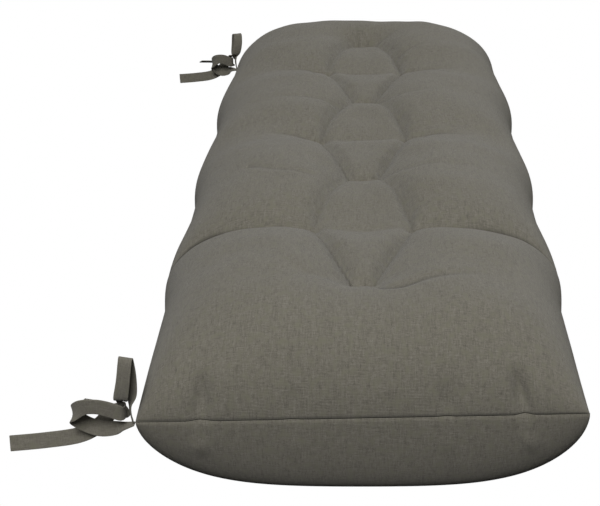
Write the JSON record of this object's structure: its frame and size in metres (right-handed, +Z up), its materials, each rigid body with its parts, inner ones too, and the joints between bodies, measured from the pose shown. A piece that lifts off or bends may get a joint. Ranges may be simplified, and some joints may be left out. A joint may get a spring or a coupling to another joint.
{
  "type": "tufted bench cushion",
  "caption": "Long filled seat cushion with a tufted top, a seam round its sides and knotted straps at the corners of its back edge.",
  "frame": {"origin": "middle of the flat underside that the cushion lies on", "axes": "+Z up through the tufted top, +Y along the cushion's length, towards its far end in the picture, and -X towards the back edge with the straps"},
  "size_m": [0.5464, 1.1887, 0.1913],
  "materials": {
    "linen": "matte, fine heathered plain weave",
    "strap_linen": "matte, fine heathered plain weave"
  },
  "bodies": {
    "root": {"cushion": "linen", "strap_near_side": "strap_linen", "strap_near_upright": "strap_linen", "strap_far_side": "strap_linen", "strap_far_upright": "strap_linen"}
  },
  "joints": []
}
